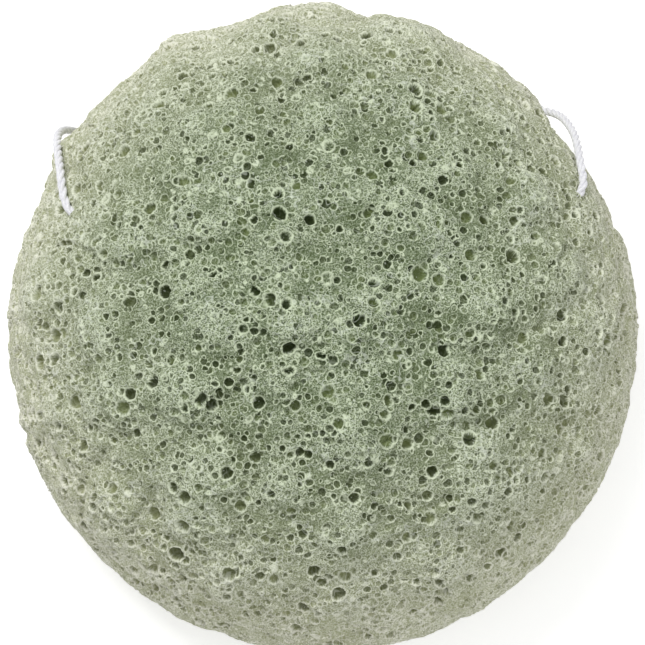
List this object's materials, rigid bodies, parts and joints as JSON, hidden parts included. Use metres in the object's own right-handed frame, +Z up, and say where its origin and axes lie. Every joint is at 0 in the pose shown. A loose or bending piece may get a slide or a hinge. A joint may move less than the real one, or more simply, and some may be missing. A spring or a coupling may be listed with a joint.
{
  "type": "konjac sponge",
  "caption": "Half-ball facial sponge of soft, open-pored konjac foam with a lumpy crown, flat underneath, with a twisted cotton hanging string tied through it.",
  "frame": {"origin": "on the table, under the middle of the sponge's flat face", "axes": "+Z up through the crown, +X along the string's hole, +Y towards the string's loop"},
  "size_m": [0.08, 0.0849, 0.038],
  "materials": {
    "konjac_foam": "matt, moist, open-pored plant foam",
    "cotton_string": "matt twisted cotton"
  },
  "bodies": {
    "sponge": {"sponge_body": "konjac_foam"},
    "loop": {"string_core": "cotton_string", "string_left": "cotton_string", "string_right": "cotton_string", "string_knot": "cotton_string", "tail_left": "cotton_string", "tail_right": "cotton_string"}
  },
  "joints": [
    {"name": "loop_swing", "type": "hinge", "parent": "sponge", "child": "loop", "pos_m": [0, 0.0133, 0.0234], "axis": [1, 0, 0], "range_deg": [0, 180]}
  ]
}
